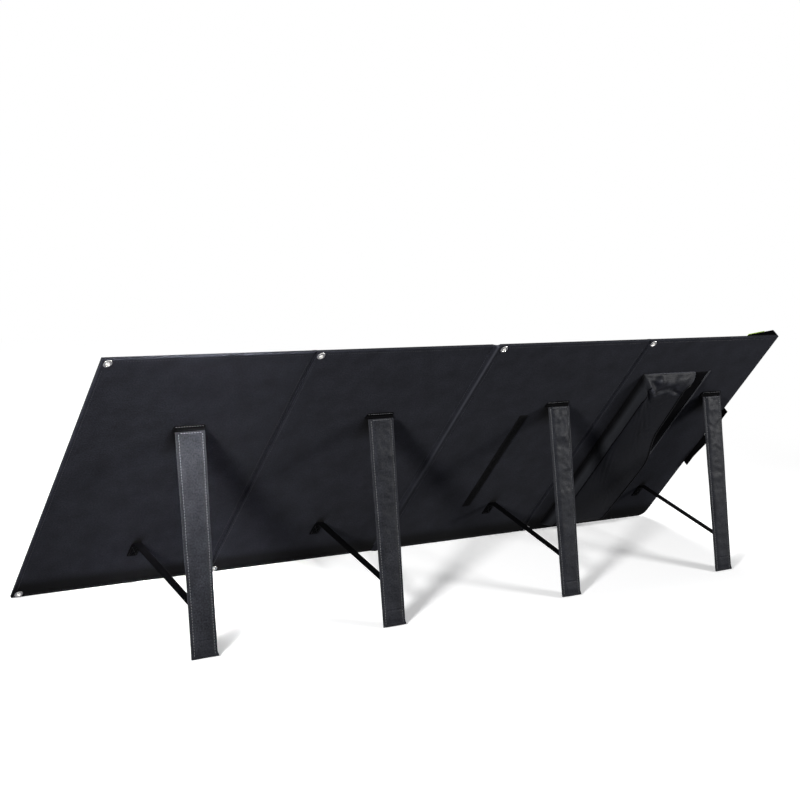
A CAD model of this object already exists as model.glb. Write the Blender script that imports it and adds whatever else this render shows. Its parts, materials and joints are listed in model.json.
"""Looks of the fold-out solar panel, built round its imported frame.

Metres, +Z up, +X along the row of panels, backs and legs towards -Y.
Cloth pieces are drawn in panel coordinates: along the row, up the slope, out of the back.
"""
import json
import math

import bpy
import numpy as np
from mathutils import Matrix, Vector, noise


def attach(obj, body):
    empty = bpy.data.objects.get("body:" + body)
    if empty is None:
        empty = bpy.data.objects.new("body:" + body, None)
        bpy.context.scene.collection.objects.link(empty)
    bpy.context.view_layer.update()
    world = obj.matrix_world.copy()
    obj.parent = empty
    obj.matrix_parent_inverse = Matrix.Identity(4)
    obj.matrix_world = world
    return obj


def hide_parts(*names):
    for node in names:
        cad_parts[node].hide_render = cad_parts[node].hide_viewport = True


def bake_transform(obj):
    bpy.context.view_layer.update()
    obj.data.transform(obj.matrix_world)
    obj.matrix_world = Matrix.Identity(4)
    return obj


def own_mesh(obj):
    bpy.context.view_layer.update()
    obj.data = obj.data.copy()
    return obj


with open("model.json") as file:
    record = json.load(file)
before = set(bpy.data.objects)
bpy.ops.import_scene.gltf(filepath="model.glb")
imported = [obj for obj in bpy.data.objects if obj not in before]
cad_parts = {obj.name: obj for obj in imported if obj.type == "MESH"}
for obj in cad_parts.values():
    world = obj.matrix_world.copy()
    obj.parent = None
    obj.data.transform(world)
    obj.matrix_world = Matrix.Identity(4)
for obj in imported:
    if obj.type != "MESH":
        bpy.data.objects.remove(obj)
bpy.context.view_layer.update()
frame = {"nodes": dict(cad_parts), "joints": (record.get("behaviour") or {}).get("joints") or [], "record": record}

MM = 0.001
PANELS = (1, 2, 3, 4)
LAST_PANEL = 4
JOINTS = {joint["name"]: joint for joint in frame["joints"]}

# Camera, matched to the corners, folds and leg feet in the photograph
PHOTO_PX = 800
FOCAL_PX = 1475.1
CAMERA_AT = Vector((-1.5015, -1.8408, 0.9154))
CAMERA_AZIMUTH = math.radians(-37.251)
CAMERA_ELEVATION = math.radians(14.322)
CAMERA_ROLL = math.radians(7.265)

# Directions of the opened panels
ALONG = np.array([1.0, 0.0, 0.0])
UP = -np.array(JOINTS["spine_fold"]["axis"])
OUT = np.cross(ALONG, UP)

# Cloth and thread
COVER_WALL = 0.8 * MM
BORDER_WALL = 0.4 * MM
TAPE_WALL = 0.5 * MM
POUCH_WALL = 1.1 * MM
LINING_WALL = 0.3 * MM
WELD_GAP = 0.02 * MM
EDGE_ROLL = 1.8 * MM
HEM_SEAM = 5.0 * MM
BOARD_INSET = (4.0 * MM, 14.0 * MM)
STITCH_PITCH = 4.0 * MM
STITCH_LENGTH = 3.0 * MM
THREAD_RADIUS = 0.38 * MM
STITCH_LIFT = 0.1 * MM
CLOSE_STITCHES = {"pitch": 2.6 * MM, "length": 2.0 * MM, "radius": 0.3 * MM}
EYELET_SLACK = 0.9 * MM
BORDER_LAP = 4.0 * MM
FREE_CORNER = 18.0 * MM


# Places in the frame

def corners_of(node):
    """Corners of a CAD node in the frame."""
    return np.array([v.co for v in frame["nodes"][node].data.vertices], float)


AXES = np.array([ALONG, UP, OUT])
COVER_CORNERS = corners_of("back_cover_1") @ AXES.T
BASE = np.array([0.0, COVER_CORNERS[:, 1].min(), COVER_CORNERS[:, 2].max()])


def panel_place(points):
    """(along, up, out) of points in the frame, from the lower edge and the backs."""
    return np.array(points, float) @ AXES.T - BASE


def span(node):
    """Lowest and highest (along, up, out) of a CAD node."""
    points = panel_place(corners_of(node))
    return points.min(0), points.max(0)


def on_panel(along, up, out):
    """Point in the frame of a place on the opened panels."""
    return along * ALONG + (up + BASE[1]) * UP + (out + BASE[2]) * OUT


PANEL_SPAN = {i: span(f"back_cover_{i}") for i in PANELS}
PANEL_W = PANEL_SPAN[1][1][0] - PANEL_SPAN[1][0][0]
PANEL_H = PANEL_SPAN[1][1][1]
PANEL_T = -span("front_border_1")[0][2]
PANEL_LEFT = {i: PANEL_SPAN[i][0][0] for i in PANELS}
EYELETS = {i: [] for i in PANELS}
for mount in frame["record"]["mounts"]:
    EYELETS[int(mount["name"].split("_")[1])].append(panel_place(mount["pos_m"]))
EYELET_BORE = frame["record"]["mounts"][0]["dims"]["r_mm"] * MM


def leg_axes(i):
    """Hinge point of a leg, its direction down to the foot, and its outward face."""
    joint = JOINTS[f"leg_{i}_hinge"]
    opening = math.radians(joint["range_deg"][1])
    down = -UP * math.cos(opening) + OUT * math.sin(opening)
    face = UP * math.sin(opening) + OUT * math.cos(opening)
    return np.array(joint["pos_m"], float), down, face


# Shapes as lists of points, faces and places on the flat cloth

def clamp(value, low=0.0, high=1.0):
    return min(max(value, low), high)


def smooth_step(value):
    value = clamp(value)
    return value * value * (3 - 2 * value)


def bell(distance, width):
    """Soft hump: 1 in its middle, fading over its width."""
    return math.exp(-(distance / width) ** 2)


def round_end(share):
    """Height of a quarter round, from 0 at its end to 1."""
    return math.sqrt(max(0.0, 1 - (1 - share) ** 2))


def roll_drop(edge, radius):
    """How far cloth that rolls over an edge has dropped, at a distance from the edge."""
    return radius - math.sqrt(radius ** 2 - (radius - min(edge, radius)) ** 2)


def soft_noise(*place):
    return noise.noise(Vector(place))


def lines(length, step, marks=(), half=0.0, edge=()):
    """Places of grid lines along a length: even ones, closer ones at the ends and round each mark."""
    ends = (0.0, length)
    reach = max(edge, default=0) + step / 3
    even = np.linspace(0, length, max(2, round(length / step) + 1))
    kept = {*ends, *(x for x in even if reach < x < length - reach)}
    for distance in edge:
        kept.update((distance, length - distance))
    for mark in marks:
        kept = {x for x in kept if abs(x - mark) > half + step / 4 or x in ends}
        kept.update(mark + half * share for share in (-1, -0.5, 0, 0.5, 1))
    return sorted(kept)


def grid(place, us, vs, skip=None, holes=(), half=0.0, flip=False):
    """Quads over us x vs; a hole (u, v, radius) is cut from the square block of lines round it."""
    flat = [(u, v) for v in vs for u in us]
    faces = []
    wide, near = len(us), half + 0.01 * MM

    def in_block(u, v):
        return any(abs(u - hole[0]) < near and abs(v - hole[1]) < near for hole in holes)

    for row in range(len(vs) - 1):
        for column in range(wide - 1):
            middle = ((us[column] + us[column + 1]) / 2, (vs[row] + vs[row + 1]) / 2)
            if in_block(*middle) or (skip and skip(*middle)):
                continue
            first = row * wide + column
            faces.append((first, first + 1, first + wide + 1, first + wide))
    for u, v, radius in holes:
        across = [k for k, x in enumerate(us) if abs(x - u) < near]
        upward = [k for k, y in enumerate(vs) if abs(y - v) < near]
        rim = [(k, upward[0]) for k in across[:-1]] + [(across[-1], k) for k in upward[:-1]]
        rim += [(k, upward[-1]) for k in across[:0:-1]] + [(across[0], k) for k in upward[:0:-1]]
        start = len(flat)
        for column, row in rim:
            angle = math.atan2(vs[row] - v, us[column] - u)
            flat.append((u + radius * math.cos(angle), v + radius * math.sin(angle)))
        corners = [row * wide + column for column, row in rim]
        for k, corner in enumerate(corners):
            after = (k + 1) % len(rim)
            faces.append((corner, corners[after], start + after, start + k))
    if flip:
        faces = [face[::-1] for face in faces]
    return [place(*at) for at in flat], faces, flat


def sweep(rings, caps=True):
    """Skin over closed rings of points, with fan caps; flat places run round the ring and along."""
    rings = np.array(rings, float)
    middles, count = rings.mean(1), rings.shape[1]
    around = np.linalg.norm(np.diff(rings, axis=1, prepend=rings[:, :1]), axis=2).cumsum(1)
    run = np.linalg.norm(np.diff(middles, axis=0, prepend=middles[:1]), axis=1).cumsum()
    points = list(rings.reshape(-1, 3))
    flat = [(at, along) for row, along in zip(around, run) for at in row]
    faces = []
    for first in range(0, len(points) - count, count):
        for m in range(count):
            after = (m + 1) % count
            faces.append((first + m, first + after, first + count + after, first + count + m))
    if caps:
        for ring, turn in ((0, -1), (len(rings) - 1, 1)):
            first, hub = ring * count, len(points)
            points.append(middles[ring])
            flat.append(flat[first])
            for m in range(count):
                pair = (first + m, first + (m + 1) % count)
                faces.append((hub, *pair[::turn]))
    return points, faces, flat


def lathe(profile, centre, axis, sides):
    """Closed profile of (radius, height) turned about an axis through a centre."""
    other = np.cross(axis, ALONG)
    rings = []
    for k in range(sides):
        angle = 2 * math.pi * k / sides
        spoke = ALONG * math.cos(angle) + other * math.sin(angle)
        rings.append([centre + spoke * r + axis * h for r, h in profile])
    return sweep(rings + rings[:1], caps=False)


def spaced_along(path, pitch):
    """Places and directions at an even pitch along a run of points."""
    path = np.array(path, float)
    steps = np.linalg.norm(np.diff(path, axis=0), axis=1)
    at = np.concatenate([[0], np.cumsum(steps)])
    count = int(at[-1] / pitch)
    found = []
    for k in range(count):
        run = (k + 0.5) * at[-1] / count
        m = min(int(np.searchsorted(at, run, side="right")) - 1, len(steps) - 1)
        direction = (path[m + 1] - path[m]) / steps[m]
        found.append((path[m] + direction * (run - at[m]), direction))
    return found


def stitches(path, out, pitch=STITCH_PITCH, length=STITCH_LENGTH, radius=THREAD_RADIUS):
    """Row of plump stitches along a run of points, half sunk in the cloth."""
    sides, flatness = 5, 0.8
    turns = [2 * math.pi * k / sides for k in range(sides)]
    swells = ((-0.5, 0.15), (-0.36, 0.8), (0.0, 1.0), (0.36, 0.8), (0.5, 0.15))
    row = ([], [], [])
    for centre, direction in spaced_along(path, pitch):
        side = np.cross(out, direction)
        spokes = [side * math.cos(a) + out * math.sin(a) * flatness for a in turns]
        add_part(row, sweep([
            [centre + direction * share * length + spoke * radius * swell for spoke in spokes]
            for share, swell in swells]))
    return row


def close_stitches(corners, out):
    """Rows of short stitches from corner to corner."""
    return [stitches(pair, out, **CLOSE_STITCHES) for pair in zip(corners, corners[1:])]


def add_part(whole, more):
    start = len(whole[0])
    whole[0].extend(more[0])
    whole[1].extend(tuple(k + start for k in face) for face in more[1])
    whole[2].extend(more[2])


def ribbon(path, outs, width, thick, side=ALONG, rounding=0.3):
    """Flat band along a run of points, with softly rounded edges; outs are its upper face."""
    half, deep = width / 2, thick / 2
    lip = min(deep, rounding * thick * 2)
    upper = [
        (-half, 0), (-half + lip * 0.3, deep * 0.7), (-half + lip, deep), (0, deep),
        (half - lip, deep), (half - lip * 0.3, deep * 0.7)]
    section = upper + [(-x, -z) for x, z in upper]
    outs = np.broadcast_to(outs, (len(path), 3))
    return sweep([
        [p + side * x + out * z for x, z in section] for p, out in zip(path, outs)])


def make_piece(name, parts, finish, sharp=40, weld=True):
    """Object from parts of cloth, welded where they meet, with its flat places as a UV map."""
    whole = ([], [], [])
    for part in parts:
        add_part(whole, part)
    mesh = bpy.data.meshes.new(name)
    mesh.from_pydata([tuple(p) for p in whole[0]], [], whole[1])
    uv = mesh.uv_layers.new(name="cloth")
    for loop in mesh.loops:
        uv.data[loop.index].uv = whole[2][loop.vertex_index]
    piece = bpy.data.objects.new(name, mesh)
    bpy.context.scene.collection.objects.link(piece)
    if weld:
        piece.modifiers.new("weld", "WELD").merge_threshold = WELD_GAP
        bake_modifiers(piece)
    piece.data.shade_smooth()
    piece.data.set_sharp_from_angle(angle=math.radians(sharp))
    piece.data.materials.append(finish.material)
    return piece


def sew(name, rows, thread, body):
    """One piece of rows of stitches, on a body."""
    seam = make_piece(name, rows, thread, weld=False)
    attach(seam, body)
    return seam


def bake_modifiers(piece):
    """Applies a piece's modifiers, so that its mesh is what shows."""
    seen = piece.evaluated_get(bpy.context.evaluated_depsgraph_get())
    mesh = bpy.data.meshes.new_from_object(seen)
    piece.modifiers.clear()
    old = piece.data
    piece.data = mesh
    mesh.name = old.name
    bpy.data.meshes.remove(old)


def thicken(piece, wall):
    """Gives a sheet its cloth thickness, inwards."""
    solid = piece.modifiers.new("cloth", "SOLIDIFY")
    solid.thickness = wall
    solid.offset = -1
    solid.use_even_offset = False
    bake_modifiers(piece)


# Finishes

def colour(code):
    """Linear colour of an sRGB hex code."""
    parts = [int(code[k:k + 2], 16) / 255 for k in (1, 3, 5)]
    return (*[p / 12.92 if p <= 0.04045 else ((p + 0.055) / 1.055) ** 2.4 for p in parts], 1.0)


def add_node(tree, kind, output, links=None, **settings):
    """Adds a shader node and gives one of its outputs; links has its inputs, as values or outputs."""
    made = tree.nodes.new(f"ShaderNode{kind}")
    for key, value in settings.items():
        setattr(made, key, value)
    for key, value in (links or {}).items():
        if isinstance(value, bpy.types.NodeSocket):
            tree.links.new(value, made.inputs[key])
        else:
            made.inputs[key].default_value = value
    return made.outputs[output]


class Finish:
    """Material with a Principled shader whose look is added step by step; lengths are in metres."""

    def __init__(self, name, **sockets):
        self.material = bpy.data.materials.new(name)
        self.material.use_nodes = True
        self.tree = self.material.node_tree
        self.shader = self.tree.nodes["Principled BSDF"]
        self.base = None
        for key, value in sockets.items():
            self.shader.inputs[key.replace("_", " ")].default_value = value

    def add(self, kind, output, links=None, **settings):
        return add_node(self.tree, kind, output, links, **settings)

    def on_cloth(self):
        """Place on the flat cloth."""
        return self.add("UVMap", "UV", uv_map="cloth")

    def in_object(self):
        """Place in the object's own axes."""
        return self.add("TexCoord", "Object")

    def noise(self, place, size, detail, **more):
        sockets = {"Vector": place, "Scale": 1 / size, "Detail": detail, **more}
        return self.add("TexNoise", "Fac", sockets)

    def bands(self, place, period, direction, **more):
        """Waves that repeat every period along a direction."""
        sockets = {"Vector": place, "Scale": math.pi / 10 / period, **more}
        return self.add("TexWave", "Fac", sockets, bands_direction=direction)

    def maths(self, operation, *values):
        return self.add("Math", "Value", dict(enumerate(values)), operation=operation)

    def times(self, *values):
        return self.maths("MULTIPLY", *values)

    def ramp(self, value, low, high, start=0.0, end=1.0, kind="LINEAR"):
        """Value moved from the range low to high into the range start to end, and kept in it."""
        sockets = {
            "Value": value, "From Min": low, "From Max": high, "To Min": start, "To Max": end}
        return self.add("MapRange", "Result", sockets, interpolation_type=kind)

    def paint(self, share, first, second):
        """Makes the base colour a mix of two, each a hex code or the base colour so far."""
        first, second = (colour(c) if isinstance(c, str) else c for c in (first, second))
        self.base = self.add("Mix", 2, {0: share, 6: first, 7: second}, data_type="RGBA")
        self.link("Base Color", self.base)

    def bump(self, height, strength, distance):
        sockets = {"Height": height, "Strength": strength, "Distance": distance}
        self.link("Normal", self.add("Bump", "Normal", sockets))

    def link(self, socket, value):
        self.tree.links.new(value, self.shader.inputs[socket])


def woven_cloth(name, code, worn, thread_mm, raise_mm, gloss, nap, rough=(0.66, 0.86)):
    """Plain-woven polyester: crossed threads, a faint mottle from the coating, a soft nap.

    Real thread spacing is about 0.5 mm; thread_mm is coarser where it would not show.
    """
    look = Finish(name, Specular_IOR_Level=gloss, Sheen_Weight=nap, Sheen_Roughness=0.45)
    cloth = look.on_cloth()
    threads = [
        look.bands(cloth, thread_mm * MM, way, Distortion=0.4, Detail=1.0) for way in "XY"]
    mottle = look.noise(cloth, 38 * MM, 5.0, Roughness=0.62)
    fleck = look.noise(cloth, 2.6 * MM, 2.0)
    look.paint(look.ramp(look.times(mottle, fleck), 0.12, 0.42), code, worn)
    look.link("Roughness", look.ramp(mottle, 0.3, 0.7, *rough))
    look.bump(look.times(*threads), 0.6, raise_mm * MM)
    return look


def rub_line(look, centre, half, pale):
    """Adds a paler line along a fold in woven cloth, rubbed most at its upper end."""
    place = look.add("SeparateXYZ", "X", {"Vector": look.on_cloth()}).node.outputs
    aside = look.maths("ABSOLUTE", look.maths("SUBTRACT", place["X"], centre))
    near = look.ramp(aside, 0.0, half, 1.0, 0.0, "SMOOTHSTEP")
    upper = look.ramp(place["Y"], 0.05 * PANEL_H, 0.95 * PANEL_H)
    look.paint(look.times(near, upper), look.base, pale)


def ridge_wear(look, pale):
    """Adds a paler tone along the ridges of folded cloth, where its coating is rubbed."""
    ridge = look.ramp(look.add("NewGeometry", "Pointiness"), 0.505, 0.55, kind="SMOOTHSTEP")
    look.paint(ridge, look.base, pale)


def side_bands(look, foot, corner, dark, pale):
    """Adds a dark taped foot and a paler sunned strip, up to the corner, along a pouch's side."""
    across = look.add("SeparateXYZ", "X", {"Vector": look.on_cloth()})
    for edge, code in ((corner, pale), (foot, dark)):
        look.paint(look.ramp(across, edge - 2 * MM, edge + 2 * MM), code, look.base)


def nook_grime(look, reach, dark, low, high, kind="SMOOTHSTEP"):
    """Darkens the places that something within reach hides from the air."""
    nook = look.add("AmbientOcclusion", "AO", {"Distance": reach}, samples=8)
    look.paint(look.ramp(nook, low, high, kind=kind), dark, look.base)


def ribbed_webbing(name, code, worn, rib_mm, gloss=0.15, nap=0.05):
    """Woven strap: raised ribs across the band with a fine slant, worn paler on the ridges."""
    look = Finish(name, Specular_IOR_Level=gloss, Sheen_Weight=nap, Sheen_Roughness=0.5)
    cloth = look.on_cloth()
    slant = look.add("Mapping", "Vector", {"Vector": cloth, "Rotation": (0, 0, 0.35)})
    ribs = look.bands(slant, rib_mm * MM, "Y", Distortion=0.6)
    dust = look.noise(cloth, 14 * MM, 4.0)
    look.paint(look.times(ribs, dust), code, worn)
    look.link("Roughness", look.ramp(dust, 0.0, 1.0, 0.6, 0.85))
    look.bump(ribs, 0.8, 0.25 * MM)
    return look


def mottled(name, code, worn, patch_mm, detail, **sockets):
    """Plain finish whose colour varies in soft patches: twisted thread, or tin on copper."""
    look = Finish(name, **sockets)
    look.paint(look.noise(look.in_object(), patch_mm * MM, detail), code, worn)
    return look


def nickel_plate(name):
    """Nickel-plated brass, stamped and tumbled: bright, smeared by handling, grimy in the bore."""
    look = Finish(name, Metallic=1.0)
    smear = look.noise(look.in_object(), 5 * MM, 4.0)
    look.paint(smear, "#f2f1ee", "#dddcd8")
    nook_grime(look, 9 * MM, "#1c1b1a", 0.08, 0.3, "LINEAR")
    look.link("Roughness", look.ramp(smear, 0.0, 1.0, 0.14, 0.34))
    return look


def silicon_cell(name):
    """Monocrystalline silicon: near-black blue under a glossy film, crossed by fine silver lines.

    The silver lines are 0.1 mm wide and 1.5 mm apart on a real cell; here they are 3 mm apart.
    """
    look = Finish(
        name, Roughness=0.35, Specular_IOR_Level=0.15, Coat_Weight=0.12, Coat_Roughness=0.15)
    place = look.in_object()
    lean = (-math.atan2(UP[2], UP[1]), 0, 0)
    slope = look.add("Mapping", "Vector", {"Vector": place, "Rotation": lean})
    silver = look.ramp(look.bands(slope, 3 * MM, "Y"), 0.92, 1.0, 0.0, 0.16)
    look.paint(look.noise(place, 90 * MM, 2.0), "#0d1428", "#16223f")
    look.paint(silver, look.base, "#8d949f")
    return look


def clear_film(name):
    """Laminated fluoropolymer film: almost clear, dimpled by the press, with a low gloss."""
    look = Finish(name, Base_Color=colour("#5c6675"), Roughness=0.3, Alpha=0.06, IOR=1.4)
    sockets = {"Vector": look.in_object(), "Scale": 1 / (2.4 * MM)}
    look.bump(look.add("TexVoronoi", "Distance", sockets, feature="SMOOTH_F1"), 0.5, 0.3 * MM)
    return look


def moulded_plastic(name, code, worn, grain_mm, *rough):
    """Injection-moulded or pressed plastic: even colour, fine spark grain, a few scuffs."""
    look = Finish(name, Specular_IOR_Level=0.4)
    place = look.in_object()
    scuff = look.noise(place, 25 * MM, 6.0, Roughness=0.7)
    look.paint(scuff, code, worn)
    look.link("Roughness", look.ramp(scuff, 0.0, 1.0, *rough))
    look.bump(look.noise(place, grain_mm * MM, 3.0), 0.35, 0.1 * MM)
    return look


def sewing_thread(name, code, worn):
    """Twisted polyester thread: slightly glossy, darker between its twists."""
    return mottled(name, code, worn, 1.2, 2.0, Roughness=0.55, Specular_IOR_Level=0.25)


OXFORD = ("#1a1b20", "#292a31", 2.4, 0.25, 0.02, 0.03)
COVER_CLOTH = woven_cloth("cover_oxford_cloth", *OXFORD)
nook_grime(COVER_CLOTH, 45 * MM, "#040405", 0.5, 0.95)
FOLD_CLOTH = woven_cloth("fold_oxford_cloth", *OXFORD)
rub_line(FOLD_CLOTH, (PANEL_LEFT[2] + PANEL_W + PANEL_LEFT[3]) / 2, 5 * MM, "#43444b")
BORDER_CLOTH = woven_cloth("border_oxford_cloth", "#15161a", "#202126", 2.4, 0.25, 0.03, 0.03)
LEG_CLOTH = woven_cloth(
    "leg_coated_cloth", "#111215", "#2c2d32", 2.0, 0.1, 0.07, 0.03, rough=(0.38, 0.62))
POUCH_CLOTH = woven_cloth(
    "pouch_coated_cloth", "#0e0f13", "#16171d", 2.2, 0.12, 0.07, 0.02, rough=(0.42, 0.6))
ridge_wear(POUCH_CLOTH, "#34353b")
side_bands(POUCH_CLOTH, 3.5 * MM, 14.5 * MM, "#030304", "#222326")
BINDING_TAPE = ribbed_webbing("binding_grosgrain", "#2b2c30", "#56575b", 1.4)
WEBBING = ribbed_webbing("black_webbing", "#030304", "#070708", 2.0, 0.015, 0.0)
LIME_TAPE = ribbed_webbing("lime_webbing", "#93b62e", "#b4d347", 2.0)
HOOK_TAPE = woven_cloth("hook_tape_nylon", "#060607", "#0d0d0e", 1.6, 0.3, 0.1, 0.0)
LINING = woven_cloth("pouch_lining_cloth", "#040405", "#0a0a0c", 1.8, 0.15, 0.03, 0.0)
TAB_CLOTH = woven_cloth("hinge_tab_cloth", "#040405", "#0a0a0b", 1.6, 0.2, 0.02, 0.0)
BLACK_THREAD = sewing_thread("black_thread", "#070708", "#121213")
DARK_THREAD = sewing_thread("dark_thread", "#202125", "#303136")
PALE_THREAD = sewing_thread("pale_thread", "#58595c", "#77787a")
NICKEL = nickel_plate("nickel_plate")
SILICON = silicon_cell("silicon_cell")
FILM = clear_film("clear_film")
BACKSHEET = moulded_plastic("backsheet_film", "#13151a", "#1b1e25", 3.0, 0.4, 0.55)
BOARD = moulded_plastic("stiffener_board", "#b3b0a4", "#c4c1b6", 1.2, 0.7, 0.85)
BOX_PLASTIC = moulded_plastic("box_plastic", "#101113", "#1b1c1e", 0.8, 0.42, 0.6)
TIN_RIBBON = mottled("tinned_ribbon", "#b5b2aa", "#8f8478", 6.0, 3.0, Metallic=0.9, Roughness=0.4)
CABLE_FILM = moulded_plastic("flat_cable_film", "#0b0b0c", "#141416", 1.0, 0.35, 0.55)


# Panels: back covers, front borders and what lies between them

def plan(i, u, v):
    """Place on panel i, with the free lower corner of the last panel rounded."""
    u, v = clamp(u, 0.0, PANEL_W), clamp(v, 0.0, PANEL_H)
    if i == LAST_PANEL and u > PANEL_W - FREE_CORNER and v < FREE_CORNER:
        p = (u - PANEL_W + FREE_CORNER) / FREE_CORNER
        q = (FREE_CORNER - v) / FREE_CORNER
        u = PANEL_W - FREE_CORNER + FREE_CORNER * p * math.sqrt(1 - q * q / 2)
        v = FREE_CORNER - FREE_CORNER * q * math.sqrt(1 - p * p / 2)
    return PANEL_LEFT[i] + u, v


def edge_distance(u, v):
    return max(min(u, PANEL_W - u, v, PANEL_H - v), 0.0)


def on_cover(i, u, v, lift=0.0):
    """Point on the back cover: slack waves, the board's edge showing through, hem and roll."""
    edge = edge_distance(u, v)
    inner = min(min(u, PANEL_W - u) - BOARD_INSET[0], min(v, PANEL_H - v) - BOARD_INSET[1])
    wave = 0.55 * MM * soft_noise(u * 8, v * 6, i * 3.7)
    wave += 0.16 * MM * soft_noise(u * 30, v * 24, i * 5.3)
    height = 0.25 * MM * smooth_step(inner / (7 * MM) + 0.5)
    height += smooth_step(edge / (12 * MM)) * wave
    height -= 0.22 * MM * bell(edge - HEM_SEAM, 1.3 * MM) + roll_drop(edge, EDGE_ROLL)
    return on_panel(*plan(i, u, v), height + lift)


def panel_lines(i, step, half, roll, *seams):
    """Grid lines of panel i, close at its edges and round its eyelets, and the eyelets' holes."""
    edge = [roll * share for share in (0.1, 0.35, 0.7, 1.0)] + list(seams)
    holes = [(at[0] - PANEL_LEFT[i], at[1], EYELET_BORE + EYELET_SLACK) for at in EYELETS[i]]
    us = lines(PANEL_W, step, [holes[0][0]], half, edge)
    vs = lines(PANEL_H, step, [hole[1] for hole in holes], half, edge)
    return us, vs, holes


def back_cover(i):
    half = 5 * MM
    us, vs, holes = panel_lines(i, 6 * MM, half, EDGE_ROLL, HEM_SEAM, 1.5 * HEM_SEAM)
    sheet = grid(lambda u, v: on_cover(i, u, v), us, vs, holes=holes, half=half)
    piece = make_piece(f"cover_cloth_{i}", [sheet], COVER_CLOTH, sharp=60)
    thicken(piece, COVER_WALL)
    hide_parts(f"back_cover_{i}")
    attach(piece, f"panel_{i}")
    across = np.linspace(20 * MM, PANEL_W - FREE_CORNER, 80)
    upward = np.linspace(20 * MM, PANEL_H - 20 * MM, 120)
    runs = [[(u, v) for u in across] for v in (HEM_SEAM, PANEL_H - HEM_SEAM)]
    runs += [[(u, v) for v in upward] for u in (HEM_SEAM, PANEL_W - HEM_SEAM)]
    rows = [stitches([on_cover(i, *at) for at in run], OUT) for run in runs]
    sew(f"hem_stitches_{i}", rows, DARK_THREAD, f"panel_{i}")


def front_border(i):
    """Frame of cloth on the sun side: rolled over the sides, open over the cells, sewn down."""
    step, half, roll, fold = 8 * MM, 5 * MM, 1.2 * MM, 1.0 * MM
    low, high = span(f"pv_front_film_{i}")
    left = low[0] - PANEL_LEFT[i] + BORDER_LAP
    right = high[0] - PANEL_LEFT[i] - BORDER_LAP
    bottom, top = low[1] + BORDER_LAP, high[1] - BORDER_LAP
    wall = PANEL_T - roll - 1.0 * MM

    def border_point(u, v):
        past = max(-u, u - PANEL_W, -v, v - PANEL_H, 0.0)
        edge = edge_distance(u, v)
        out = -PANEL_T
        if past:
            out += roll + past
        elif edge < roll:
            out += roll_drop(edge, roll)
        else:
            out -= 0.12 * MM * soft_noise(u * 25, v * 25, i * 2.1 + 9)
            inside = min(u - left, right - u, v - bottom, top - v) + fold
            out += 0.5 * MM * smooth_step(inside / fold)
        inset = 0.25 * MM * smooth_step(past / wall)
        u, v = clamp(u, inset, PANEL_W - inset), clamp(v, inset, PANEL_H - inset)
        return on_panel(*plan(i, u, v), out)

    us, vs, holes = panel_lines(i, step, half, roll, HEM_SEAM)
    for at, rest in ((left, us), (right, us), (bottom, vs), (top, vs)):
        turn = -1 if at < sum(rest) / len(rest) else 1
        rest[:] = [x for x in rest if abs(x - at) >= step / 2]
        rest.extend(at + turn * fold * share for share in (0, 0.5, 1.0))
        rest.sort()
    us = [-wall, -wall / 2, *us, PANEL_W + wall / 2, PANEL_W + wall]
    vs = [-wall, -wall / 2, *vs, PANEL_H + wall / 2, PANEL_H + wall]

    def skip(u, v):
        over_cells = left < u < right and bottom < v < top
        outside = (u < 0 or u > PANEL_W) and (v < 0 or v > PANEL_H)
        return over_cells or outside

    sheet = grid(border_point, us, vs, skip, holes, half, flip=True)
    piece = make_piece(f"border_cloth_{i}", [sheet], BORDER_CLOTH, sharp=60)
    thicken(piece, BORDER_WALL)
    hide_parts(f"front_border_{i}")
    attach(piece, f"panel_{i}")
    gap = 3.5 * MM
    sides, ends = (left - gap, right + gap), (bottom - gap, top + gap)
    corners = [np.array([sides[a], ends[b]]) for a, b in ((0, 0), (1, 0), (1, 1), (0, 1), (0, 0))]
    rows = []
    for start, end in zip(corners, corners[1:]):
        path = [border_point(*(start + (end - start) * k / 40)) for k in range(41)]
        rows.append(stitches(path, -OUT))
    sew(f"border_stitches_{i}", rows, DARK_THREAD, f"panel_{i}")


def busbars(i):
    """Five solder ribbons down each column of cells."""
    low, high = span(f"solar_cells_{i}")
    columns, bars, width, thick, gap = 2, 5, 1.3 * MM, 0.12 * MM, 2 * MM
    cell = (high[0] - low[0] - gap) / columns
    ups = np.linspace(low[1] + 1 * MM, high[1] - 1 * MM, 12)
    parts = []
    for column in range(columns):
        for bar in range(bars):
            at = low[0] + column * (cell + gap) + cell * (bar + 0.5) / bars
            path = [on_panel(at, up, low[2] - thick / 2) for up in ups]
            parts.append(ribbon(path, -OUT, width, thick))
    piece = make_piece(f"cell_busbars_{i}", parts, TIN_RIBBON)
    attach(piece, f"panel_{i}")


def eyelets(i):
    """Rolled two-part eyelets: a domed flange on each face and a barrel through the panel."""
    low, high = span(f"grommets_{i}")
    outer, bore = (high[0] - low[0]) / 2, EYELET_BORE
    dome, lip, top = 1.25 * MM, 0.35 * MM, PANEL_T / 2
    rise = [(bore, top - 1.0 * MM), (bore, top), (bore + 0.35 * MM, top + dome * 0.62),
            (bore + 1.0 * MM, top + dome * 0.95), ((bore + outer) / 2, top + dome),
            (outer - 0.9 * MM, top + dome * 0.72), (outer - 0.15 * MM, top + lip),
            (outer, top + 0.1 * MM), (outer - 0.3 * MM, top - 0.2 * MM),
            (bore + 1.2 * MM, top - 0.2 * MM)]
    profile = rise + [(r, -h) for r, h in reversed(rise)]
    parts = [lathe(profile, on_panel(*at[:2], -PANEL_T / 2), OUT, 40) for at in EYELETS[i]]
    piece = make_piece(f"eyelets_{i}", parts, NICKEL, sharp=70)
    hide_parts(f"grommets_{i}")
    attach(piece, f"panel_{i}")


# Folds between the panels

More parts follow.
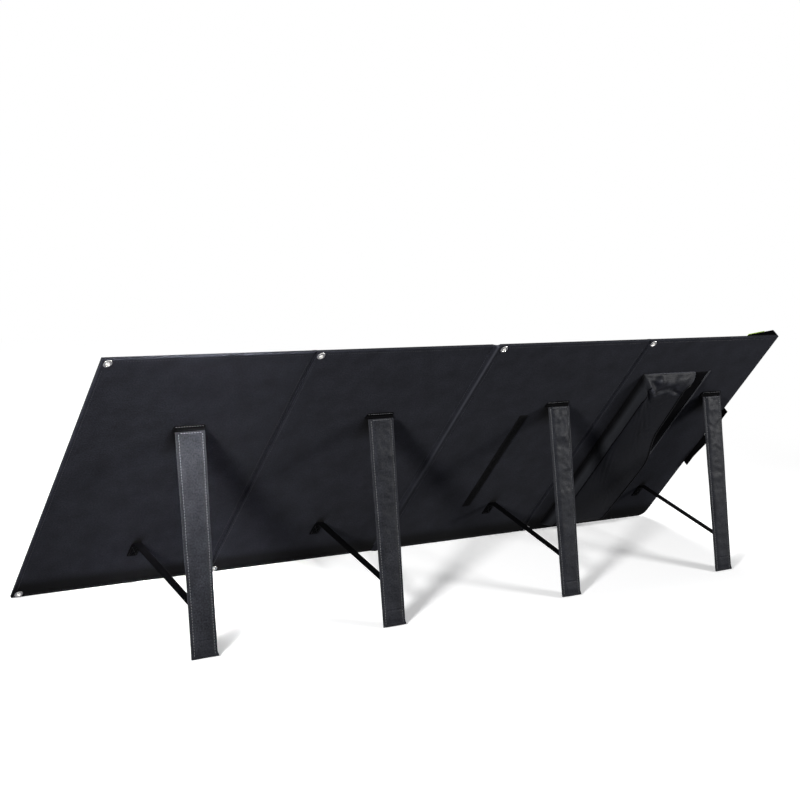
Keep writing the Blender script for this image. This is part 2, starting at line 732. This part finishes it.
def fold_band(first, second, side, bulge, pleat):
    """Cloth across a fold, sewn to both panels, and the flat cable beside it; both bend in the gap.

    side is 1 for the fold on the backs and -1 for those on the sun side, whose slack stands up
    between the panels' edges as a pleat.
    """
    name, node = f"fold_tape_{first}{second}", f"fold_hinge_{first}{second}"
    low, high = span(node)
    start, end = PANEL_LEFT[first] + PANEL_W, PANEL_LEFT[second]
    face = 0.0 if side > 0 else -PANEL_T
    thick = high[2] - low[2]
    flange_ends, narrow, first_row, rim = 18 * MM, 2.6 * MM, 0.4 * MM, 0.1 * MM
    crossing = sorted({
        *np.linspace(low[0], start - narrow, 5), *np.linspace(start - narrow, start, 3),
        *np.linspace(start, end, 13), *np.linspace(end, end + narrow, 3),
        *np.linspace(end + narrow, high[0], 5)})
    ends = [EDGE_ROLL * share for share in (0.1, 0.4, 0.9)]
    ends += [x * MM for x in (4.6, 9.1, 13.6, 17.6)]
    rows = [first_row + up for up in lines(PANEL_H - 2 * first_row, 6 * MM, edge=ends)]
    turn = PANEL_T - EDGE_ROLL
    rows = [-turn, -turn / 2, *rows, PANEL_H + turn / 2, PANEL_H + turn]

    def band_point(u, v):
        edge = min(v, PANEL_H - v)
        reach = (u - start + 3 * MM) / (end - start + 6 * MM)
        lift = bulge * math.sin(math.pi * clamp(reach)) ** 2
        off_middle = abs(u - (start + end) / 2) / (end - start)
        standing = 1 - smooth_step((off_middle - 0.24) / 0.2)
        lift -= pleat * standing * smooth_step((edge - 1 * MM) / (4 * MM))
        taper = smooth_step(min(u - low[0], high[0] - u) / (6 * MM))
        out = thick * (0.2 + 0.8 * taper) - 0.25 * MM + lift
        out += 0.25 * MM * soft_noise(u * 50, v * 14, 4.1) * taper
        out -= roll_drop(max(edge, rim), EDGE_ROLL) + max(-edge, 0.0)
        return on_panel(u, clamp(v, rim, PANEL_H - rim), face + side * out)

    def skip(u, v):
        by_eyelet = not flange_ends < v < PANEL_H - flange_ends
        return by_eyelet and not start - narrow < u < end + narrow

    sheet = grid(band_point, crossing, rows, skip, flip=side < 0)
    tape = make_piece(name, [sheet], FOLD_CLOTH, sharp=60)
    thicken(tape, TAPE_WALL)
    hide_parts(node)
    ups = np.linspace(flange_ends + 3 * MM, PANEL_H - flange_ends - 3 * MM, 100)
    seams = [
        stitches([band_point(u, v) for v in ups], side * OUT)
        for u in (start - 3.6 * MM, end + 3.6 * MM)]
    sewn = make_piece(f"{name}_stitches", seams, DARK_THREAD, weld=False)
    low, high = span(f"link_ribbon_{first}{second}")
    path = [on_panel(u, *(low + high)[1:] / 2) for u in np.linspace(low[0], high[0], 60)]
    strip = ribbon(path, OUT, high[1] - low[1], high[2] - low[2], UP)
    flat_cable = make_piece(f"{name}_flat_cable", [strip], CABLE_FILM)
    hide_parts(f"link_ribbon_{first}{second}")
    for part in (tape, sewn, flat_cable):
        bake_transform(part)


# Legs with their hinge tabs and straps

def leg_sleeve(i):
    """Padded sleeve over the leg's board: sewn edges, a crowned face with creases, a hemmed foot."""
    hinge, down, face = leg_axes(i)
    places = (corners_of(f"leg_sleeve_{i}") - hinge) @ np.array([ALONG, down, face]).T
    top, foot, thick = places[:, 1].min() - 0.25 * MM, places[:, 1].max(), places[:, 2].max()
    top_half = places[:, 0].max()
    foot_half = np.abs(places[places[:, 1] > foot - 1 * MM, 0]).max()
    seam, edge_low, edge_high = 4.6 * MM, thick * 0.3, thick * 0.76
    middle = (edge_low + edge_high) / 2
    hem_line = foot - 25 * MM
    downs = [top + x * MM for x in (0, 0.12, 0.4, 0.9, 1.8, 3.4)]
    downs += list(np.linspace(top + 6 * MM, hem_line - 5 * MM, 96))
    downs += [hem_line + x * MM for x in (-2.4, -1.2, -0.6, 0, 0.6, 1.2, 2.6)]
    downs += list(np.linspace(hem_line + 6 * MM, foot - 9 * MM, 4))
    downs += [foot - x * MM for x in (6.5, 4.5, 2.6, 1.2, 0.4, 0.0)]

    def half_width(at):
        wave = 0.4 * MM * soft_noise(at * 26, i * 4.3, 1.7)
        return top_half + (foot_half - top_half) * (at - top) / (foot - top) + wave

    def sleeve_height(x, at, side):
        from_edge = half_width(at) - abs(x)
        edge, crown = (edge_high, thick) if side > 0 else (edge_low, 0.0)
        z = middle + (edge - middle) * round_end(clamp(from_edge / (1.4 * MM)))
        swell = smooth_step((from_edge - 0.9 * seam) / (6 * MM))
        swell *= 1 - smooth_step((at - foot + 10 * MM) / (5 * MM))
        z += (crown - edge) * swell
        upper = bell(at - top - 40 * MM, 75 * MM)
        crease = soft_noise(x * 24 + i * 7.1, at * 46, i * 2.9 + side)
        crease += 0.6 * soft_noise(x * 44, at * 95, i * 8.2 + side)
        crumple = soft_noise(x * 120 + i, at * 180, i * 5.3) if side > 0 else 0.0
        z += side * swell * MM * (
            0.4 + crease * (0.9 + 1.0 * upper) + crumple * (0.5 + 0.9 * upper))
        z -= side * 0.45 * MM * bell(from_edge - seam, 0.9 * MM)
        z -= side * 0.55 * MM * swell * bell(at - hem_line, 1.1 * MM)
        close = 0.82 + 0.18 * round_end(min(1.0, (at - top) / (0.9 * MM)))
        close *= 0.3 + 0.7 * round_end(min(1.0, (foot - at) / (1.2 * MM)))
        return middle + (z - middle) * close

    def sleeve_point(x, at, side, lift=0.0):
        low_end = smooth_step((at - foot + 9 * MM) / (9 * MM))
        poke = 2.4 * MM * low_end * max(0.0, x / half_width(at)) ** 4
        curl = 0.9 * MM * low_end * soft_noise(x * 40, i * 3.1, 5.5)
        drop = 1.3 * MM * low_end * soft_noise(x * 30, i * 6.7, 2.5)
        z = sleeve_height(x, at, side) + curl + side * lift
        return hinge + ALONG * (x + poke) + down * (at - max(drop, 0.0)) + face * z

    rings = []
    shares = (0, 0.06, 0.16, 0.3, 0.55, 0.8, 0.92, 1.0, 1.1, 1.35, 1.7, 2.2)
    for at in downs:
        half = half_width(at)
        inner = half - seam * shares[-1]
        crossing = [-half + seam * share for share in shares]
        crossing += [inner * (k / 5 - 1) for k in range(1, 10)]
        crossing += [half - seam * share for share in reversed(shares)]
        ring = [sleeve_point(x, at, 1) for x in crossing]
        ring += [sleeve_point(x, at, -1) for x in reversed(crossing[1:-1])]
        rings.append(ring)
    piece = make_piece(
        f"leg_sleeve_cloth_{i}", [sweep(rings)], LEG_CLOTH, sharp=75)
    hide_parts(f"leg_sleeve_{i}")
    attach(piece, f"leg_{i}")

    def row_across(half, at):
        path = [sleeve_point(x, at, 1, STITCH_LIFT) for x in np.linspace(-half, half, 20)]
        return stitches(path, face)

    rows = []
    for side in (-1, 1):
        for edge in (-1, 1):
            path = [sleeve_point(edge * (half_width(at) - seam), at, side, STITCH_LIFT)
                    for at in np.linspace(top + 3 * MM, foot - 4 * MM, 120)]
            rows.append(stitches(path, side * face))
    rows.append(row_across(top_half - 1.4 * seam, top + 2.2 * MM))
    sew(f"leg_top_stitching_{i}", rows, PALE_THREAD, f"leg_{i}")
    hem = row_across(foot_half - 2 * seam, hem_line)
    sew(f"leg_hem_stitching_{i}", [hem], DARK_THREAD, f"leg_{i}")


def hinge_tab(i):
    """Folded tab sewn to the panel, ending in the rolled hem that the leg turns on."""
    low, high = span(f"leg_hinge_tab_{i}")
    _, axis_up, axis_out = panel_place(JOINTS[f"leg_{i}_hinge"]["pos_m"])
    roll, tab, upper = axis_up - low[1], 1.1 * MM, high[1]
    section = [(upper, 0.05 * MM), (upper + 0.15 * MM, tab * 0.5), (upper - 0.3 * MM, tab)]
    section += [(up, tab + 0.2 * MM * math.sin(up * 900))
                for up in np.linspace(upper - 2 * MM, axis_up + roll + 1.4 * MM, 6)]
    for k in range(13):
        angle = math.radians(50 - k * 270 / 12)
        section.append((axis_up + roll * math.cos(angle), axis_out + roll * math.sin(angle)))
    section += [(axis_up - roll * 0.3, 0.3 * MM), (axis_up + roll, 0.05 * MM)]
    half = (high[0] - low[0]) / 2
    centre = (high[0] + low[0]) / 2
    rings = []
    for x in np.linspace(-half, half, 25):
        scale = 0.8 + 0.2 * round_end(min(1.0, (half - abs(x)) / (1.0 * MM)))
        wave = 0.18 * MM * soft_noise(x * 70, i * 3.3, 2.2)
        rings.append([
            on_panel(centre + x, axis_up + (up - axis_up) * scale, (out + wave) * scale)
            for up, out in section])
    piece = make_piece(f"hinge_tab_cloth_{i}", [sweep(rings)], TAB_CLOTH, sharp=50)
    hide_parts(f"leg_hinge_tab_{i}")
    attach(piece, f"panel_{i}")
    row = [on_panel(centre + x, upper - 1.8 * MM, tab + STITCH_LIFT)
           for x in np.linspace(-half + 2 * MM, half - 2 * MM, 20)]
    sew(f"hinge_tab_stitches_{i}", [stitches(row, OUT)], PALE_THREAD, f"panel_{i}")


def leg_strap(i):
    """Webbing from the panel to the leg: taut when the leg stands, flat when it is closed."""
    low, high = span(f"leg_strap_{i}")
    centre, tail_w = (low[0] + high[0]) / 2, high[0] - low[0]
    tail, thick, off_panel = 30 * MM, 1.2 * MM, 10 * MM
    corners = panel_place(corners_of(f"leg_strap_{i}"))
    band_w = np.ptp(corners[corners[:, 2] > off_panel, 0])
    root, tip = np.array([low[1] + tail, thick / 2]), high[1:]
    end = tip - (tip - root) / np.linalg.norm(tip - root) * 0.8 * MM
    path = [root - np.array([6 * MM * (1 - k / 5) ** 2, 0]) for k in range(5)]
    path += [root + (end - root) * k / 40 for k in range(1, 41)]
    ways = np.diff(path, axis=0)
    ways = [way / np.linalg.norm(way) for way in (*ways, ways[-1])]
    outs = [OUT * way[0] - UP * way[1] for way in ways]
    band = ribbon([on_panel(centre, *at) for at in path], outs, band_w, thick)
    ups = np.linspace(low[1], low[1] + tail - 1 * MM, 10)
    flat_path = [on_panel(centre, up, thick / 2 + 0.1 * MM) for up in ups]
    flat_tail = ribbon(flat_path, OUT, tail_w, thick)
    piece = make_piece(f"strap_webbing_{i}", [band, flat_tail], WEBBING, weld=False)
    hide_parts(f"leg_strap_{i}")
    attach(piece, f"panel_{i}")
    inset, lift = 2.2 * MM, thick + STITCH_LIFT
    left, right = centre - tail_w / 2 + inset, centre + tail_w / 2 - inset
    bottom, top = low[1] + inset, low[1] + tail - 8 * MM
    box = [(left, bottom), (right, bottom), (right, top), (left, top), (left, bottom), (right, top)]
    rows = close_stitches([on_panel(*at, lift) for at in box], OUT)
    rows += close_stitches([on_panel(right, bottom, lift), on_panel(left, top, lift)], OUT)
    sewn = sew(f"strap_stitches_{i}", rows, BLACK_THREAD, f"panel_{i}")
    for part, keep in ((piece, 0.008), (sewn, 0.3)):
        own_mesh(part)


# Fittings of panels 3 and 4

def hook_strip():
    """Hook tape: a woven base with rounded edges and rows of tiny hooks."""
    low, high = span("hook_strip")
    base, pitch, columns = 0.7 * MM, 2.3 * MM, 6
    centre = (low[0] + high[0]) / 2
    path = [on_panel(centre, up, base / 2 + 0.15 * MM) for up in np.linspace(low[1], high[1], 60)]
    parts = [ribbon(path, OUT, high[0] - low[0], base)]
    for row in range(int((high[1] - low[1] - 3 * MM) / pitch)):
        for column in range(columns):
            u = low[0] + 2.2 * MM + (column + 0.5 * (row % 2)) * pitch
            v = low[1] + 1.5 * MM + row * pitch
            lean = 0.35 * MM * soft_noise(u * 900, v * 900, 0.5)
            parts.append(sweep([[
                on_panel(u + lean * rise + r * MM * math.cos(a),
                         v + r * MM * math.sin(a), base + rise * 0.75 * MM)
                for a in (0.0, 1.57, 3.14, 4.71)]
                for rise, r in ((0.0, 0.5), (0.6, 0.42), (1.0, 0.7), (1.25, 0.25))]))
    piece = make_piece("hook_tape_pile", parts, HOOK_TAPE, weld=False)
    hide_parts("hook_strip")
    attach(piece, "panel_3")


def carry_handle():
    """Webbing loop whose ends are sewn along the free edge of the last panel."""
    low, high = span("carry_handle")
    thick, wide = 2.4 * MM, high[2] - low[2]
    stand = high[0] - low[0] - thick
    end, upper_rise, lower_rise = 18 * MM, 20 * MM, 62 * MM
    count = 80
    path, outs = [], []
    for k in range(count + 1):
        v = low[1] + (high[1] - low[1]) * k / count
        share = smooth_step((high[1] - v - end) / upper_rise)
        share *= smooth_step((v - low[1] - end) / lower_rise)
        path.append(np.array([low[0] + thick / 2 + stand * share, v]))
    for k in range(count + 1):
        way = path[min(k + 1, count)] - path[max(k - 1, 0)]
        way = way / np.linalg.norm(way)
        outs.append(ALONG * way[1] - UP * way[0])
    places = [on_panel(*at, (low[2] + high[2]) / 2) for at in path]
    piece = make_piece(
        "handle_webbing", [ribbon(places, outs, wide, thick * 0.9, OUT)], WEBBING)
    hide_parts("carry_handle")
    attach(piece, "panel_4")
    rows = []
    front, back = low[2] + 3 * MM, high[2] - 3 * MM
    for first in (low[1] + 2 * MM, high[1] - end + 2 * MM):
        last = first + end - 5 * MM
        box = [(first, front), (last, front), (last, back), (first, back), (first, front),
               (last, back)]
        rows += close_stitches([on_panel(low[0] + thick, *at) for at in box], ALONG)
    sew("handle_stitches", rows, DARK_THREAD, "panel_4")


def corner_tab():
    """Pull tab on the top corner: black webbing with lime edging on its sun side."""
    rows = []
    half_round = [(0, 0.5), (0.02, 0.15), (0.06, 0), (0.35, 0), (0.65, 0), (0.94, 0), (0.98, 0.15)]
    outline = half_round + [(1 - share, 1 - deep) for share, deep in half_round]
    for node, name, finish, slot in (
            ("corner_tab", "corner_tab_webbing", WEBBING, "webbing"),
            ("corner_tab_trim", "corner_tab_lime", LIME_TAPE, "lime_fabric")):
        low, high = span(node)
        corners = panel_place(corners_of(node))
        ends = sorted({round(float(u), 6) for u in corners[:, 0]})
        tops = [max(c[1] for c in corners if abs(c[0] - u) < 0.01 * MM) for u in ends]
        rings = []
        for u in sorted({*np.linspace(low[0], high[0], 25), *ends}):
            tall = np.interp(u, ends, tops) - low[1]
            wave = 0.2 * MM * soft_noise(u * 60, 1.1, 7.7)
            rings.append([
                on_panel(u, low[1] + tall * share,
                         low[2] + (high[2] - low[2]) * deep + wave * share)
                for share, deep in outline])
        piece = make_piece(name, [sweep(rings)], finish, sharp=50)
        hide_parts(node)
        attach(piece, "panel_4")
        for up in (low[1] + 3 * MM, low[1] + 7 * MM):
            path = [on_panel(u, up, low[2] - 0.05 * MM)
                    for u in np.linspace(low[0] + 2 * MM, high[0] - 2 * MM, 30)]
            rows.append(stitches(path, -OUT))
    sew("corner_tab_stitches", rows, DARK_THREAD, "panel_4")


# Pouch on panel 4

POUCH_GUSSET = span("pouch_gusset")
POUCH_EDGE = span("pouch_binding")
POUCH_LEFT, POUCH_RIGHT = POUCH_GUSSET[0][0], POUCH_EDGE[0][0]
POUCH_LOW, POUCH_LENGTH = POUCH_GUSSET[0][1], POUCH_GUSSET[1][1] - POUCH_GUSSET[0][1]
POUCH_WIDTH = span("pouch_face")[1][0] - POUCH_LEFT
POUCH_DEEP = POUCH_GUSSET[1][2]
POUCH_SEAMS = {"side": (15 * MM, 1.7), "end": (24 * MM, 1.8)}
CRUMPLE_LIMIT = 11 * MM
SETTLE_FRAMES = 40
SETTLING = {
    "quality": 10, "mass": 0.1, "air_damping": 4, "bending_stiffness": 0.03,
    "tension_stiffness": 40, "compression_stiffness": 40, "shear_stiffness": 20,
    "tension_damping": 15, "compression_damping": 15, "shear_damping": 15,
    "vertex_group_mass": "sewn", "pin_stiffness": 2.0,
    "vertex_group_shrink": "slack", "shrink_min": 0.0, "shrink_max": -0.45}


def seam_rise(distance, seam):
    """Share of the pouch's depth at a distance from a seam on the panel."""
    reach, power = POUCH_SEAMS[seam]
    left = 1 - clamp(distance / reach)
    return (1 - left ** power) ** (1 / power)


def seam_lines(seam):
    """Distances from a seam at which the pouch has risen by even steps."""
    reach, power = POUCH_SEAMS[seam]
    steps = (0, 0.2, 0.4, 0.6, 0.76, 0.88, 0.96)
    return [reach * (1 - (1 - step ** power) ** (1 / power)) for step in steps]


def pouch_start(u, v):
    """Pouch as cut and sewn: a boxy shell with a bowed lip, before its cloth settles."""
    across, share, top = u / POUCH_WIDTH, v / POUCH_LENGTH, POUCH_LENGTH - v
    bow = math.sin(math.pi * share)
    gape = smooth_step((share - 0.43) / 0.27)
    flare = smooth_step((share - 0.93) / 0.07)
    inward = (36 * gape - 18 - 30 * flare) * MM * smooth_step(across) ** 2
    dent = bell(share - 0.6, 0.05) * (1 - smooth_step(u / (22 * MM)))
    rise = seam_rise(u, "side") * seam_rise(v, "end") * seam_rise(top, "end")
    deep = POUCH_DEEP + (7 * MM * bow - 2 * MM) * across + 4 * MM * bow * math.sin(math.pi * across)
    deep += 3 * MM * gape * (1 - flare) * across - 7 * MM * dent
    reach, turn = math.hypot(u - 6 * MM, top), math.atan2(top, u)
    pleat = bell(reach - 28 * MM, 17 * MM)
    pleat *= math.asin(math.sin(11 * turn + 2 * soft_noise(u * 40, v * 40, 1.9))) / 1.57
    gather = bell(top, 24 * MM)
    middle = smooth_step((u - 22 * MM) / (12 * MM)) * (1 - smooth_step((u - 100 * MM) / (24 * MM)))
    valley = bell(top - (25 + 5 * math.sin(u * 70)) * MM, 4 * MM) * middle
    deep += 5.5 * MM * pleat + 5 * MM * gather * soft_noise(u * 60, v * 60, 3.3) - 6 * MM * valley
    up = v - 4 * MM * gather * smooth_step(top / (5 * MM)) * soft_noise(u * 60, v * 40, 7.7)
    along = POUCH_LEFT + u - inward + 5 * MM * dent * rise
    return on_panel(along, POUCH_LOW + up, max(deep * rise, 0.3 * MM))


def settle(piece, held, slack):
    """Lets a sheet settle as cloth: held is how firmly each corner keeps its place, slack its spare."""
    start = np.array([v.co for v in piece.data.vertices], float)
    for name, weights in (("sewn", held), ("slack", slack)):
        group = piece.vertex_groups.new(name=name)
        for k, weight in enumerate(weights):
            group.add([k], clamp(float(weight)), "REPLACE")
    cloth = piece.modifiers.new("settle", "CLOTH").settings
    for key, value in SETTLING.items():
        setattr(cloth, key, value)
    cloth.effector_weights.gravity = 0.25
    scene = bpy.context.scene
    for step in range(1, SETTLE_FRAMES + 1):
        scene.frame_set(step)
    seen = piece.evaluated_get(bpy.context.evaluated_depsgraph_get())
    moved = np.array([v.co for v in seen.data.vertices], float) - start
    piece.modifiers.clear()
    piece.vertex_groups.clear()
    scene.frame_set(1)
    far = np.linalg.norm(moved, axis=1, keepdims=True)
    settled = start + moved * np.minimum(1.0, CRUMPLE_LIMIT / np.maximum(far, 1e-9))
    for corner, place in zip(piece.data.vertices, settled):
        out = panel_place(place)[2]
        corner.co = place + OUT * (max(out, 0.4 * MM) - out)


def pouch():
    """Slack cloth pouch: sewn on three sides, crumpled at its ends, open along its lip."""
    fine = 62 * MM
    us = seam_lines("side") + list(np.linspace(POUCH_SEAMS["side"][0], fine, 22, endpoint=False))
    us += list(np.linspace(fine, POUCH_WIDTH, 24))
    ends, reach = seam_lines("end"), POUCH_SEAMS["end"][0]
    vs = ends + list(np.linspace(reach, POUCH_LENGTH - fine, 76, endpoint=False))
    vs += list(np.linspace(POUCH_LENGTH - fine, POUCH_LENGTH - reach, 18))
    vs += [POUCH_LENGTH - end for end in reversed(ends)]
    piece = make_piece(
        "pouch_cloth", [grid(pouch_start, us, vs)], POUCH_CLOTH, 80, weld=False)
    held, slack = [], []
    for v in vs:
        for u in us:
            top = POUCH_LENGTH - v
            loose = bell(top, 24 * MM) * (0.5 + 0.5 * bell(u, 50 * MM))
            loose += 0.8 * bell(v, 24 * MM)
            loose += 0.35 * math.exp(-u / (9 * MM))
            held.append(1.0 if min(u, v, top) < 0.05 * MM else 0.04 + 0.1 * (1 - min(loose, 1.0)))
            slack.append(min(1.0, loose + 0.08))
    settle(piece, held, slack)
    columns = len(us)

    def run_of(column):
        return [np.array(piece.data.vertices[row * columns + column].co)
                for row in range(len(ends) - 2, len(vs) - len(ends) + 2)]

    lip_run, corner_run = run_of(columns - 1), run_of(len(seam_lines("side")))
    smooth = piece.modifiers.new("round", "SUBSURF")
    smooth.levels = smooth.render_levels = 1
    thicken(piece, POUCH_WALL)
    piece.data.shade_smooth()
    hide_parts("pouch_face", "pouch_gusset")
    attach(piece, "panel_4")
    for name, run, wide, thick, finish in (
            ("pouch_lip_hem", lip_run, 3.6 * MM, 2.2 * MM, POUCH_CLOTH),
            ("pouch_corner_piping", corner_run, 2.0 * MM, 1.6 * MM, LINING)):
        edging = ribbon(run, OUT, wide, thick, rounding=0.5)
        hem = make_piece(name, [edging], finish, sharp=70)
        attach(hem, "panel_4")

    # Lining on the panel inside the pouch, which makes its open mouth dark
    left, right = POUCH_LEFT - PANEL_LEFT[LAST_PANEL], POUCH_RIGHT - PANEL_LEFT[LAST_PANEL]
    us = np.linspace(left + 2 * MM, right, 30)
    vs = np.linspace(POUCH_LOW + 2 * MM, POUCH_LOW + POUCH_LENGTH - 2 * MM, 70)
    sheet = grid(lambda u, v: on_cover(LAST_PANEL, u, v, 0.35 * MM), us, vs)
    lining = make_piece("pouch_lining", [sheet], LINING, 80)
    thicken(lining, LINING_WALL)
    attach(lining, "panel_4")


def pouch_binding():
    """Grosgrain binding along the sewn edge of the mouth."""
    low, high = POUCH_EDGE
    centre, width, thick = (low[0] + high[0]) / 2, high[0] - low[0], high[2] - low[2]
    path = [
        on_panel(centre + 2.2 * MM * soft_noise(up * 12, 5.5, 0.4), up, thick / 2)
        for up in np.linspace(low[1], high[1], 120)]
    tape = ribbon(path, OUT, 0.75 * width, thick, rounding=0.5)
    piece = make_piece("pouch_binding_tape", [tape], BINDING_TAPE)
    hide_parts("pouch_binding")
    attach(piece, "panel_4")


# CAD pieces that show as they are

def dress(name, finish):
    node = frame["nodes"][name]
    node.data.materials.clear()
    node.data.materials.append(finish.material)
    return node


def carried_over_nodes():
    """Gives the CAD pieces that show their own finishes, and the box its softened edges."""
    for i in PANELS:
        for kind, finish in (
                ("core_board", BOARD), ("leg_board", BOARD), ("pv_backsheet", BACKSHEET),
                ("solar_cells", SILICON)):
            dress(f"{kind}_{i}", finish)
        # Film a hair thinner, so that its back and the cells' faces are not one surface
        hair = dress(f"pv_front_film_{i}", FILM).modifiers.new("hair_gap", "DISPLACE")
        hair.mid_level = 0
        hair.strength = -0.06 * MM
    for name in ("junction_box", "junction_lid"):
        bevel = dress(name, BOX_PLASTIC).modifiers.new("moulded_edge", "BEVEL")
        bevel.width = 0.6 * MM
        bevel.segments = 2
        bevel.limit_method = "ANGLE"


# Studio

# Lamps: name, place, aim, width, spread in degrees, watts
LAMPS = (
    ("left_lamp", (-1.95, -1.0, 1.05), (-0.3, -0.05, 0.4), 0.35, 70, 12.5),
    ("leg_lamp", (-0.98, -1.04, 1.96), (-0.5, -0.05, 0.36), 0.2, 10, 1.1),
    ("right_lamp", (1.7, -1.1, 0.9), (0.2, 0.0, 0.3), 0.5, 90, 6.5),
    ("top_lamp", (0.1, 1.0, 2.6), (0.1, 0.0, 0.0), 2.0, 160, 40),
    ("sun_side_lamp", (0.3, 2.8, 2.2), (0.0, 0.0, 0.2), 2.0, 120, 16))
SKY = ("#eef2f8", 0.055)
WHITE = ("#ffffff", 1.0)
FLOOR_GLOW = 0.3
FLOOR_FADE = (0.75, 1.7)


def paper_floor():
    """White paper under the object: it keeps the shadow and fades into the white round it.

    Only the camera sees it white; for other rays it is grey, so it doesn't light the backs.
    """
    paper = Finish(
        "studio_paper", Roughness=0.9, Specular_IOR_Level=0.1, Emission_Color=colour(WHITE[0]))
    camera_ray = paper.add("LightPath", "Is Camera Ray")
    paper.paint(camera_ray, "#84848a", "#f4f4f4")
    paper.link("Emission Strength", paper.times(camera_ray, FLOOR_GLOW))
    away = paper.add("VectorMath", "Value", {0: paper.in_object()}, operation="LENGTH")
    fade = paper.times(paper.ramp(away, *FLOOR_FADE, kind="SMOOTHSTEP"), camera_ray)
    white = paper.add("Emission", "Emission", {"Color": colour(WHITE[0]), "Strength": WHITE[1]})
    mix = paper.add("MixShader", "Shader", {0: fade, 1: paper.shader.outputs["BSDF"], 2: white})
    paper.tree.links.new(mix, paper.tree.nodes["Material Output"].inputs["Surface"])
    reach, level = 12.0, -0.5 * MM
    corners = [(x * reach, y * reach, level) for x, y in ((-1, -1), (1, -1), (1, 1), (-1, 1))]
    mesh = bpy.data.meshes.new("floor")
    mesh.from_pydata(corners, [], [(0, 1, 2, 3)])
    mesh.materials.append(paper.material)
    floor = bpy.data.objects.new("floor", mesh)
    return floor


def white_sky():
    """World that looks white and lights softly."""
    world = bpy.data.worlds.new("studio")
    world.use_nodes = True
    tree = world.node_tree
    tree.nodes.clear()
    rays = add_node(tree, "LightPath", "Is Camera Ray").node.outputs
    seen = rays["Is Camera Ray"]
    for kind in ("Is Glossy Ray", "Is Transmission Ray"):
        seen = add_node(tree, "Math", "Value", {0: seen, 1: rays[kind]}, operation="MAXIMUM")
    light, white = (
        add_node(tree, "Background", "Background", {"Color": colour(code), "Strength": strength})
        for code, strength in (SKY, WHITE))
    mix = add_node(tree, "MixShader", "Shader", {0: seen, 1: light, 2: white})
    tree.links.new(mix, tree.nodes.new("ShaderNodeOutputWorld").inputs["Surface"])
    return world


def studio():
    """White floor and sky, the lamps and the camera."""
    scene = bpy.context.scene
    scene.view_settings.view_transform = "Standard"
    scene.world = white_sky()
    scene.collection.objects.link(paper_floor())
    for name, at, aim, size, spread, power in LAMPS:
        lamp = bpy.data.lights.new(name, "AREA")
        lamp.shape = "DISK"
        lamp.size = size
        lamp.spread = math.radians(spread)
        lamp.energy = power
        holder = bpy.data.objects.new(name, lamp)
        holder.location = at
        holder.rotation_euler = (Vector(aim) - Vector(at)).to_track_quat("-Z", "Y").to_euler()
        scene.collection.objects.link(holder)

    camera = bpy.data.cameras.new("camera")
    camera.sensor_width = 36.0
    camera.lens = FOCAL_PX / PHOTO_PX * camera.sensor_width
    scene.camera = bpy.data.objects.new("camera", camera)
    turn = Matrix.Rotation(CAMERA_AZIMUTH, 4, "Z")
    tilt = Matrix.Rotation(math.pi / 2 - CAMERA_ELEVATION, 4, "X")
    roll = Matrix.Rotation(CAMERA_ROLL, 4, "Z")
    scene.camera.matrix_world = Matrix.Translation(CAMERA_AT) @ turn @ tilt @ roll
    scene.collection.objects.link(scene.camera)


for number in PANELS:
    back_cover(number)
    front_border(number)
    busbars(number)
    eyelets(number)
    leg_sleeve(number)
    hinge_tab(number)
    leg_strap(number)
fold_band(1, 2, -1, 0.2 * MM, 5.6 * MM)
fold_band(2, 3, 1, 1.3 * MM, 0.0)
fold_band(3, 4, -1, 0.2 * MM, 5.6 * MM)
hook_strip()
pouch()
pouch_binding()
carry_handle()
corner_tab()
carried_over_nodes()
studio()
